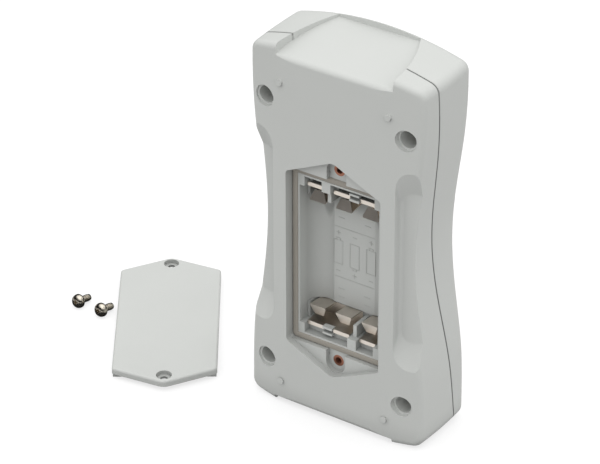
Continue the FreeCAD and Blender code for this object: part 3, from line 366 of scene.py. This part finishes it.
def drawn_metal():
    """Streaks along one axis with a slow drift of tone, as on rolled, drawn or turned metal."""
    tree, start, end = new_group(
        "Drawn metal",
        [("Vector", "NodeSocketVector", None), ("Colour", "NodeSocketColor", None),
         ("Roughness", "NodeSocketFloat", 0.25), ("Streak Scale", "NodeSocketFloat", 8000.0),
         ("Tone", "NodeSocketFloat", 0.08)],
        [("Colour", "NodeSocketColor"), ("Roughness", "NodeSocketFloat"),
         ("Height", "NodeSocketFloat")],
    )
    vector = start.outputs["Vector"]
    clouds_per_metre = 260.0
    streak_gloss = 0.35
    cloud_gloss = 0.2
    clouds = add_noise(tree, vector, clouds_per_metre)
    streaks = add_noise(tree, vector, start.outputs["Streak Scale"])
    tone = drift(tree, clouds, start.outputs["Tone"])
    rough = add_math(tree, "MULTIPLY", start.outputs["Roughness"], drift(tree, streaks, streak_gloss))
    rough = add_math(tree, "MULTIPLY", rough, drift(tree, clouds, cloud_gloss))
    tree.links.new(add_tint(tree, start.outputs["Colour"], tone), end.inputs["Colour"])
    tree.links.new(rough, end.inputs["Roughness"])
    tree.links.new(streaks, end.inputs["Height"])
    return tree


# Materials

def grouped_material(name, group, colour, values, bump_depth, stretch=(1, 1, 1), metallic=0.0):
    """A Principled material whose colour, roughness and bump come from a node group."""
    material = bpy.data.materials.new(name)
    material.use_nodes = True
    tree = material.node_tree
    shader = tree.nodes["Principled BSDF"]
    shader.inputs["Metallic"].default_value = metallic
    place = tree.nodes.new("ShaderNodeTexCoord")
    mapping = tree.nodes.new("ShaderNodeMapping")
    mapping.inputs["Scale"].default_value = stretch
    effect = tree.nodes.new("ShaderNodeGroup")
    effect.node_tree = group
    effect.inputs["Colour"].default_value = (*colour, 1)
    for label, value in values.items():
        effect.inputs[label].default_value = value
    bump = tree.nodes.new("ShaderNodeBump")
    bump.inputs["Distance"].default_value = bump_depth
    tree.links.new(place.outputs["Object"], mapping.inputs["Vector"])
    tree.links.new(mapping.outputs["Vector"], effect.inputs["Vector"])
    tree.links.new(effect.outputs["Colour"], shader.inputs["Base Color"])
    tree.links.new(effect.outputs["Roughness"], shader.inputs["Roughness"])
    tree.links.new(effect.outputs["Height"], bump.inputs["Height"])
    tree.links.new(bump.outputs["Normal"], shader.inputs["Normal"])
    return material


def shared_group(name, make):
    """A node group that is built the first time it is asked for."""
    return bpy.data.node_groups.get(name) or make()


def shared_material(name, make):
    """A material that is built the first time it is asked for."""
    return bpy.data.materials.get(name) or make(name)


def painted_recess_shade_mask(material, reach):
    """How deep a point lies in a recess, from 0 in the open to 1 where all round it is closed, read
    from ambient occlusion as the mask of the painted recess shade.
    """
    tree = material.node_tree
    open_share = tree.nodes.new("ShaderNodeAmbientOcclusion")
    open_share.samples = 8
    open_share.inputs["Distance"].default_value = reach
    return add_math(tree, "SUBTRACT", 1.0, open_share.outputs["AO"])


def shade_colour(material, mask, amount):
    """Paints shade into the base colour of a material: darkens it where a mask is one, by an amount."""
    tree = material.node_tree
    shader = tree.nodes["Principled BSDF"]
    colour = shader.inputs["Base Color"].links[0].from_socket
    kept = add_math(tree, "SUBTRACT", 1.0, add_math(tree, "MULTIPLY", mask, amount))
    tree.links.new(add_tint(tree, colour, kept), shader.inputs["Base Color"])


def moulded_material(name, settings):
    """Plastic or rubber with the grain of its mould."""
    values = {
        "Roughness": settings.roughness,
        "Grain Scale": 1 / settings.grain_size,
        "Tone": settings.tone,
    }
    group = shared_group("Moulded grain", moulded_grain)
    return grouped_material(name, group, settings.colour, values, settings.grain_depth)


def metal_material(name, settings, stretch=(1, 1, 1)):
    """Metal with the streaks of its rolling or turning."""
    values = {
        "Roughness": settings.roughness,
        "Streak Scale": 1 / settings.streak,
    }
    group = shared_group("Drawn metal", drawn_metal)
    return grouped_material(name, group, settings.colour, values, settings.streak_depth,
                            stretch=stretch, metallic=1.0)


def plastic_material(name):
    """Moulded plastic, with painted shade in its recesses."""
    settings = bpy.context.scene.case_plastic
    material = moulded_material(name, settings)
    shade_colour(material, painted_recess_shade_mask(material, settings.recess_reach), settings.recess_shade)
    return material


def mask_from_group(material, group, values):
    """The mask of a node group that reads Object coordinates."""
    tree = material.node_tree
    effect = tree.nodes.new("ShaderNodeGroup")
    effect.node_tree = group
    for label, value in values.items():
        effect.inputs[label].default_value = value
    place = tree.nodes.new("ShaderNodeTexCoord")
    tree.links.new(place.outputs["Object"], effect.inputs["Vector"])
    return effect.outputs["Mask"]


def shell_material(name):
    """The moulded plastic of the shells, with painted shade in its deeper recesses and at the parting
    line.
    """
    settings = bpy.context.scene.case_plastic
    material = moulded_material(name, settings)
    tree = material.node_tree
    screws = [(low + high) / 2 for low, high in map(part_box, CASE_SCREW_NODES)]
    top = max(middle.z for middle in screws)
    bottom = min(middle.z for middle in screws)
    light = mask_from_group(material, shared_group("Light recesses", light_recesses), {
        "Half Span": max(middle.x for middle in screws),
        "Middle": (top + bottom) / 2,
        "Half Rise": (top - bottom) / 2,
        "Radius": settings.bore_radius,
        "Panel Foot": settings.panel_foot,
    })
    # Painted shade in the recesses, left off in the screw bores and the recess of the end panel
    shaded = add_math(tree, "SUBTRACT", 1.0, light)
    closed = add_math(tree, "MULTIPLY", painted_recess_shade_mask(material, settings.recess_reach), shaded)
    shade_colour(material, closed, settings.recess_shade)
    # Painted shade in the groove of the parting line, kept off the end panel
    on_seam = mask_from_group(material, shared_group("Seam shade", seam_shade), {
        "Centre": settings.seam_centre,
        "Datum": settings.seam_datum,
        "Slope": settings.seam_slope,
        "Bow": settings.seam_bow,
        "Width": settings.seam_width,
        "Panel Half": settings.panel_half,
        "Panel Foot": settings.panel_foot,
    })
    shade_colour(material, on_seam, settings.seam_shade)
    return material


def rubber_material(name):
    """Rubber of the battery gasket."""
    return moulded_material(name, bpy.context.scene.gasket_rubber)


def contact_material(name):
    """Plated sheet, with its streaks drawn out along the strips."""
    along_strip = (1, 1, 0.05)
    return metal_material(name, bpy.context.scene.contact_sheet, along_strip)


def insert_material(name):
    """Turned metal of the threaded inserts."""
    return metal_material(name, bpy.context.scene.insert_metal)


def screw_material(name):
    """Plated steel of the screws."""
    return metal_material(name, bpy.context.scene.screw_metal)


def finish_nodes(names, material):
    """Gives carried nodes their finish."""
    for name in names:
        slots = NODES[name].data.materials
        slots.clear()
        slots.append(material)


# Geometry Nodes

def new_geometry_tree(name, inputs):
    """A geometry node tree with a geometry in and out and named inputs."""
    tree = bpy.data.node_groups.new(name, "GeometryNodeTree")
    tree.interface.new_socket("Geometry", in_out="OUTPUT", socket_type="NodeSocketGeometry")
    tree.interface.new_socket("Geometry", in_out="INPUT", socket_type="NodeSocketGeometry")
    for label, kind in inputs:
        tree.interface.new_socket(label, in_out="INPUT", socket_type=kind)
    return tree, tree.nodes.new("NodeGroupInput"), tree.nodes.new("NodeGroupOutput")


def ridge_tree():
    """A low ridge with sloping sides along every line of a wire mesh."""
    tree, start, end = new_geometry_tree("Ridge along lines", [
        ("Width", "NodeSocketFloat"), ("Height", "NodeSocketFloat"),
        ("Material", "NodeSocketMaterial")])
    nodes, links = tree.nodes, tree.links
    top_share = 0.5
    path = nodes.new("GeometryNodeMeshToCurve")
    profile = nodes.new("GeometryNodeCurvePrimitiveQuadrilateral")
    profile.mode = "TRAPEZOID"
    profile.inputs["Offset"].default_value = 0
    top = nodes.new("ShaderNodeMath")
    top.operation = "MULTIPLY"
    top.inputs[1].default_value = top_share
    sweep = nodes.new("GeometryNodeCurveToMesh")
    sweep.inputs["Fill Caps"].default_value = True
    realize = nodes.new("GeometryNodeRealizeInstances")
    paint = nodes.new("GeometryNodeSetMaterial")
    links.new(start.outputs["Geometry"], path.inputs["Mesh"])
    links.new(start.outputs["Width"], profile.inputs["Bottom Width"])
    links.new(start.outputs["Width"], top.inputs[0])
    links.new(top.outputs[0], profile.inputs["Top Width"])
    links.new(start.outputs["Height"], profile.inputs["Height"])
    links.new(path.outputs["Curve"], sweep.inputs["Curve"])
    links.new(profile.outputs["Curve"], sweep.inputs["Profile Curve"])
    links.new(sweep.outputs["Mesh"], realize.inputs["Geometry"])
    links.new(realize.outputs["Geometry"], paint.inputs["Geometry"])
    links.new(start.outputs["Material"], paint.inputs["Material"])
    links.new(paint.outputs["Geometry"], end.inputs["Geometry"])
    return tree


def thread_tree():
    """A helical ridge at every point of a mesh, turned the same way at each."""
    tree, start, end = new_geometry_tree("Thread at points", [
        ("Radius", "NodeSocketFloat"), ("Pitch", "NodeSocketFloat"), ("Turns", "NodeSocketFloat"),
        ("Depth", "NodeSocketFloat"), ("Rotation", "NodeSocketRotation"),
        ("Material", "NodeSocketMaterial")])
    nodes, links = tree.nodes, tree.links
    steps_a_turn = 28
    ridge_sides = 3
    helix = nodes.new("GeometryNodeCurveSpiral")
    helix.inputs["Resolution"].default_value = steps_a_turn
    rise = nodes.new("ShaderNodeMath")
    rise.operation = "MULTIPLY"
    profile = nodes.new("GeometryNodeCurvePrimitiveCircle")
    profile.inputs["Resolution"].default_value = ridge_sides
    sweep = nodes.new("GeometryNodeCurveToMesh")
    sweep.inputs["Fill Caps"].default_value = True
    place = nodes.new("GeometryNodeInstanceOnPoints")
    realize = nodes.new("GeometryNodeRealizeInstances")
    paint = nodes.new("GeometryNodeSetMaterial")
    links.new(start.outputs["Pitch"], rise.inputs[0])
    links.new(start.outputs["Turns"], rise.inputs[1])
    links.new(start.outputs["Turns"], helix.inputs["Rotations"])
    links.new(start.outputs["Radius"], helix.inputs["Start Radius"])
    links.new(start.outputs["Radius"], helix.inputs["End Radius"])
    links.new(rise.outputs[0], helix.inputs["Height"])
    links.new(start.outputs["Depth"], profile.inputs["Radius"])
    links.new(helix.outputs["Curve"], sweep.inputs["Curve"])
    links.new(profile.outputs["Curve"], sweep.inputs["Profile Curve"])
    links.new(start.outputs["Geometry"], place.inputs["Points"])
    links.new(sweep.outputs["Mesh"], place.inputs["Instance"])
    links.new(start.outputs["Rotation"], place.inputs["Rotation"])
    links.new(place.outputs["Instances"], realize.inputs["Geometry"])
    links.new(realize.outputs["Geometry"], paint.inputs["Geometry"])
    links.new(start.outputs["Material"], paint.inputs["Material"])
    links.new(paint.outputs["Geometry"], end.inputs["Geometry"])
    return tree


def grown_piece(name, points, lines, tree, values):
    """A plain mesh object grown by a geometry tree from points and lines."""
    seed = bpy.data.meshes.new(f"{name}_seed")
    seed.from_pydata(points, lines, [])
    holder = bpy.data.objects.new(f"{name}_seed", seed)
    bpy.context.scene.collection.objects.link(holder)
    modifier = holder.modifiers.new("grow", "NODES")
    modifier.node_group = tree
    for item in tree.interface.items_tree:
        if item.in_out == "INPUT" and item.name in values:
            modifier[item.identifier] = values[item.name]
    graph = bpy.context.evaluated_depsgraph_get()
    mesh = bpy.data.meshes.new_from_object(holder.evaluated_get(graph), depsgraph=graph)
    bpy.data.objects.remove(holder)
    bpy.data.meshes.remove(seed)
    if not mesh.polygons:
        raise RuntimeError(f"{name} came out empty")
    mesh.name = name
    piece = bpy.data.objects.new(name, mesh)
    bpy.context.scene.collection.objects.link(piece)
    return piece


def grow_threads(name, places, settings, radius, length, rotation, material):
    """The thread ridges of pieces that are alike, one ridge starting at each place."""
    pitch = settings.thread_pitch
    tree = shared_group("Thread at points", thread_tree)
    return grown_piece(name, places, [], tree, {
        "Radius": radius,
        "Pitch": pitch,
        "Turns": length / pitch,
        "Depth": settings.thread_depth,
        "Rotation": rotation,
        "Material": material,
    })


def seat_piece(piece):
    """Fixes a finished piece to the enclosure."""
    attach(piece, BODY)


# Fine detail

def cell_mark_lines(settings):
    """Points and edges of each cell's body, knob, plus and minus, the middle one turned over."""
    points = []
    edges = []

    def line(corners, closed, centre_x, flip):
        """Adds one open or closed line of a cell, which a flip of -1 turns over."""
        first = len(points)
        for x, z in corners:
            points.append((centre_x + x, settings.floor, settings.middle + flip * z))
        count = len(corners)
        for index in range(count if closed else count - 1):
            edges.append((first + index, first + (index + 1) % count))

    half = settings.width / 2
    tall = settings.height / 2
    knob = half * settings.knob_share
    crown = tall + settings.knob_rise
    arm = settings.sign_arm
    above = crown + settings.plus_gap
    below = -tall - settings.minus_gap
    for index, flip in enumerate((1, -1, 1)):
        centre_x = (index - 1) * settings.pitch
        line([(-half, -tall), (half, -tall), (half, tall), (-half, tall)], True, centre_x, flip)
        line([(-knob, tall), (-knob, crown), (knob, crown), (knob, tall)], False, centre_x, flip)
        line([(-arm, above), (arm, above)], False, centre_x, flip)
        line([(0, above - arm), (0, above + arm)], False, centre_x, flip)
        line([(-arm, below), (arm, below)], False, centre_x, flip)
    border = settings.border_rise
    for flip in (1, -1):
        line([(-settings.border_half, border), (settings.border_half, border)], False, 0, flip)
    reach = settings.rib_half
    from_middle = settings.rib_share * settings.pitch
    for height in settings.rib_rises:
        for centre_x in (-from_middle, from_middle):
            line([(-reach, height), (reach, height)], False, centre_x, 1)
    return points, edges


# Studio

def add_camera(settings):
    """The camera at its place, turned round the vertical, tilted down and rolled."""
    camera = bpy.data.cameras.new("Camera")
    camera.lens = settings.lens
    camera.sensor_width = settings.sensor
    camera.clip_end = settings.far_clip
    holder = bpy.data.objects.new("Camera", camera)
    turned = Matrix.Rotation(settings.turn, 4, "Z")
    tilted = Matrix.Rotation(math.pi / 2 - settings.tilt, 4, "X")
    rolled = Matrix.Rotation(settings.roll, 4, "Z")
    holder.matrix_world = Matrix.Translation(settings.place) @ turned @ tilted @ rolled
    bpy.context.scene.collection.objects.link(holder)
    bpy.context.scene.camera = holder


def add_lamp(settings):
    """One large square lamp overhead, a little to the right and to the front."""
    lamp = bpy.data.lights.new("Overhead lamp", "AREA")
    lamp.energy = settings.lamp_power
    lamp.size = settings.lamp_size
    holder = bpy.data.objects.new("Overhead lamp", lamp)
    place = settings.lamp_place
    away = place - Vector((0, 0, settings.lamp_aim))
    turned = away.to_track_quat("Z", "Y").to_matrix().to_4x4()
    holder.matrix_world = Matrix.Translation(place) @ turned
    bpy.context.scene.collection.objects.link(holder)


def seen_rays(tree):
    """One where a ray comes from the camera, a reflection or through glass. Returns the output."""
    path = tree.nodes.new("ShaderNodeLightPath")
    mirrored = add_math(tree, "MAXIMUM", path.outputs["Is Camera Ray"], path.outputs["Is Glossy Ray"])
    return add_math(tree, "MAXIMUM", mirrored, path.outputs["Is Transmission Ray"])


def add_sky(settings):
    """Even light all round, seen as white."""
    world = bpy.data.worlds.new("Sky")
    world.use_nodes = True
    bpy.context.scene.world = world
    tree = world.node_tree
    tree.nodes.clear()
    light = tree.nodes.new("ShaderNodeBackground")
    light.inputs["Color"].default_value = (1, 1, 1, 1)
    light.inputs["Strength"].default_value = settings.sky
    seen = tree.nodes.new("ShaderNodeBackground")
    seen.inputs["Color"].default_value = (1, 1, 1, 1)
    seen.inputs["Strength"].default_value = 1.0
    mix = tree.nodes.new("ShaderNodeMixShader")
    output = tree.nodes.new("ShaderNodeOutputWorld")
    tree.links.new(seen_rays(tree), mix.inputs["Fac"])
    tree.links.new(light.outputs[0], mix.inputs[1])
    tree.links.new(seen.outputs[0], mix.inputs[2])
    tree.links.new(mix.outputs[0], output.inputs["Surface"])


def floor_material(settings):
    """Matt floor that is lifted to white where it is seen, and keeps its shadows."""
    material = bpy.data.materials.new("Studio floor")
    material.use_nodes = True
    tree = material.node_tree
    tree.nodes.clear()
    matt = tree.nodes.new("ShaderNodeBsdfDiffuse")
    matt.inputs["Color"].default_value = (*settings.floor_colour, 1)
    lift = tree.nodes.new("ShaderNodeEmission")
    lift.inputs["Strength"].default_value = settings.floor_lift
    both = tree.nodes.new("ShaderNodeAddShader")
    mix = tree.nodes.new("ShaderNodeMixShader")
    output = tree.nodes.new("ShaderNodeOutputMaterial")
    tree.links.new(matt.outputs[0], both.inputs[0])
    tree.links.new(lift.outputs[0], both.inputs[1])
    tree.links.new(seen_rays(tree), mix.inputs["Fac"])
    tree.links.new(matt.outputs[0], mix.inputs[1])
    tree.links.new(both.outputs[0], mix.inputs[2])
    tree.links.new(mix.outputs[0], output.inputs["Surface"])
    return material


def add_floor(settings):
    """The floor that the enclosure stands on."""
    reach = settings.floor_reach
    corners = [(-reach, -reach, 0), (reach, -reach, 0), (reach, reach, 0), (-reach, reach, 0)]
    mesh = bpy.data.meshes.new("Studio floor")
    mesh.from_pydata(corners, [], [(0, 1, 2, 3)])
    mesh.materials.append(floor_material(settings))
    floor = bpy.data.objects.new("Studio floor", mesh)
    bpy.context.scene.collection.objects.link(floor)


def dark_material(name):
    """Matt dark card without any gloss."""
    material = bpy.data.materials.new(name)
    material.use_nodes = True
    shader = material.node_tree.nodes["Principled BSDF"]
    shader.inputs["Base Color"].default_value = (*bpy.context.scene.studio.card_colour, 1)
    shader.inputs["Roughness"].default_value = 1.0
    shader.inputs["Specular IOR Level"].default_value = 0.0
    return material


def add_reflected_card(name, points, faces):
    """A dark card that is seen only in reflections."""
    mesh = bpy.data.meshes.new(name)
    mesh.from_pydata(points, [], faces)
    mesh.materials.append(shared_material("Dark card", dark_material))
    card = bpy.data.objects.new(name, mesh)
    card.visible_camera = False
    card.visible_diffuse = False
    card.visible_transmission = False
    card.visible_shadow = False
    bpy.context.scene.collection.objects.link(card)


def add_cards(settings):
    """A dark card all round and one under the loose screws, a painted shadow seen in their reflections,
    so that bright metal has dark bands.
    """
    sides = 48
    reach = settings.card_reach
    turns = [2 * math.pi * step / sides for step in range(sides)]
    ring = [(math.cos(turn) * reach, math.sin(turn) * reach) for turn in turns]
    points = [(x, y, z) for z in (0.0, settings.card_height) for x, y in ring]
    faces = []
    for step in range(sides):
        after = (step + 1) % sides
        faces.append((step, after, sides + after, sides + step))
    add_reflected_card("Dark card all round", points, faces)
    # A painted shadow under the loose screws, seen only in their reflections
    boxes = [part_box(name) for name in LOOSE_SCREW_NODES]
    spread = settings.card_spread
    x0 = min(low.x for low, _ in boxes) - spread
    x1 = max(high.x for _, high in boxes) + spread
    y0 = min(low.y for low, _ in boxes) - spread
    y1 = max(high.y for _, high in boxes) + spread
    level = settings.card_level
    points = [(x0, y0, level), (x1, y0, level), (x1, y1, level), (x0, y1, level)]
    add_reflected_card("Painted shadow card under the screws", points, [(0, 1, 2, 3)])


# Operators

class SetStudio(bpy.types.Operator):
    """Places the camera, the lamp, the even light, the floor and the dark cards, the one under the
    loose screws a painted shadow
    """
    bl_idname = "enclosure.set_studio"
    bl_label = "Set studio"

    def execute(self, context):
        settings = context.scene.studio
        add_camera(settings)
        add_lamp(settings)
        add_sky(settings)
        add_floor(settings)
        add_cards(settings)
        context.scene.view_settings.view_transform = "Standard"
        return {"FINISHED"}


class FinishCase(bpy.types.Operator):
    """Gives the two shells and the battery cover their moulded plastic"""
    bl_idname = "enclosure.finish_case"
    bl_label = "Finish case"

    def execute(self, context):
        finish_nodes(SHELL_NODES, shared_material("Moulded plastic with seam", shell_material))
        finish_nodes(("battery_cover",), shared_material("Moulded plastic", plastic_material))
        return {"FINISHED"}


class FinishGasket(bpy.types.Operator):
    """Gives the battery gasket its rubber"""
    bl_idname = "enclosure.finish_gasket"
    bl_label = "Finish gasket"

    def execute(self, context):
        finish_nodes(("battery_gasket",), shared_material("Gasket rubber", rubber_material))
        return {"FINISHED"}


class FinishContacts(bpy.types.Operator):
    """Gives the battery contacts their plated sheet"""
    bl_idname = "enclosure.finish_contacts"
    bl_label = "Finish contacts"

    def execute(self, context):
        finish_nodes(CONTACT_NODES, shared_material("Contact sheet", contact_material))
        return {"FINISHED"}


class FinishInserts(bpy.types.Operator):
    """Gives the threaded inserts their metal, and the two that show their threads"""
    bl_idname = "enclosure.finish_inserts"
    bl_label = "Finish inserts"

    def execute(self, context):
        settings = context.scene.insert_metal
        material = shared_material("Insert metal", insert_material)
        finish_nodes(INSERT_NODES, material)
        boxes = [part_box(name) for name in COVER_INSERT_NODES]
        places = []
        for low, high in boxes:
            middle = (low + high) / 2
            places.append((middle.x, low.y + settings.thread_start, middle.z))
        low, high = boxes[0]
        threaded = high.y - low.y - settings.thread_start - settings.thread_end
        rotation = Euler((-math.pi / 2, 0, 0))
        threads = grow_threads("cover_insert_threads", places, settings, settings.bore_radius, threaded,
                               rotation, material)
        seat_piece(threads)
        return {"FINISHED"}


class FinishScrews(bpy.types.Operator):
    """Gives every screw its plated steel, and the two loose ones their threads"""
    bl_idname = "enclosure.finish_screws"
    bl_label = "Finish screws"

    def execute(self, context):
        settings = context.scene.screw_metal
        material = shared_material("Screw metal", screw_material)
        finish_nodes(CASE_SCREW_NODES + LOOSE_SCREW_NODES, material)
        radius = settings.shank_radius
        length = settings.shank_length
        boxes = [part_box(name) for name in LOOSE_SCREW_NODES]
        low, high = boxes[0]
        head_radius = (high.x - low.x) / 2
        lean = math.atan2(head_radius - radius, length)
        along = Vector((0, math.cos(lean), -math.sin(lean)))
        to_head = length * math.cos(lean) + radius * math.sin(lean)
        places = []
        for low, high in boxes:
            under_head = Vector(((low.x + high.x) / 2, high.y - to_head, head_radius * math.cos(lean)))
            places.append(under_head + along * settings.thread_start)
        threaded = length - settings.thread_start - settings.thread_end
        rotation = Euler((-math.pi / 2 - lean, 0, 0))
        threads = grow_threads("cover_screw_threads", places, settings, radius, threaded, rotation,
                               material)
        seat_piece(threads)
        return {"FINISHED"}


class AddCellMarks(bpy.types.Operator):
    """Raises the small cell outlines on the floor of the battery bay"""
    bl_idname = "enclosure.add_cell_marks"
    bl_label = "Add cell marks"

    def execute(self, context):
        settings = context.scene.cell_marks
        points, edges = cell_mark_lines(settings)
        tree = shared_group("Ridge along lines", ridge_tree)
        # Half of the ridge lies under the floor
        marks = grown_piece("cell_marks", points, edges, tree, {
            "Width": settings.line,
            "Height": 2 * settings.proud,
            "Material": shared_material("Moulded plastic", plastic_material),
        })
        seat_piece(marks)
        return {"FINISHED"}


# Panel and registration

class EnclosurePanel(bpy.types.Panel):
    """Lists the steps and their settings"""
    bl_idname = "VIEW3D_PT_enclosure"
    bl_label = "Enclosure"
    bl_space_type = "VIEW_3D"
    bl_region_type = "UI"
    bl_category = "Enclosure"

    def draw(self, context):
        for step, group in STEPS:
            box = self.layout.box()
            box.operator(step.bl_idname)
            settings = getattr(context.scene, group)
            for field in settings.__annotations__:
                box.prop(settings, field)


SETTINGS = {
    "case_plastic": CasePlasticSettings,
    "gasket_rubber": RubberSettings,
    "contact_sheet": ContactSettings,
    "insert_metal": InsertSettings,
    "screw_metal": ScrewSettings,
    "cell_marks": CellMarkSettings,
    "studio": StudioSettings,
}

STEPS = (
    (SetStudio, "studio"),
    (FinishCase, "case_plastic"),
    (FinishGasket, "gasket_rubber"),
    (FinishContacts, "contact_sheet"),
    (FinishInserts, "insert_metal"),
    (FinishScrews, "screw_metal"),
    (AddCellMarks, "cell_marks"),
)


def register():
    for name, settings in SETTINGS.items():
        bpy.utils.register_class(settings)
        setattr(bpy.types.Scene, name, PointerProperty(type=settings))
    for step, _ in STEPS:
        bpy.utils.register_class(step)
    bpy.utils.register_class(EnclosurePanel)


def unregister():
    bpy.utils.unregister_class(EnclosurePanel)
    for step, _ in reversed(STEPS):
        bpy.utils.unregister_class(step)
    for name, settings in reversed(SETTINGS.items()):
        delattr(bpy.types.Scene, name)
        bpy.utils.unregister_class(settings)


def main():
    register()
    bpy.ops.enclosure.set_studio()
    bpy.ops.enclosure.finish_case()
    bpy.ops.enclosure.finish_gasket()
    bpy.ops.enclosure.finish_contacts()
    bpy.ops.enclosure.finish_inserts()
    bpy.ops.enclosure.finish_screws()
    bpy.ops.enclosure.add_cell_marks()


if __name__ == "__main__":
    main()
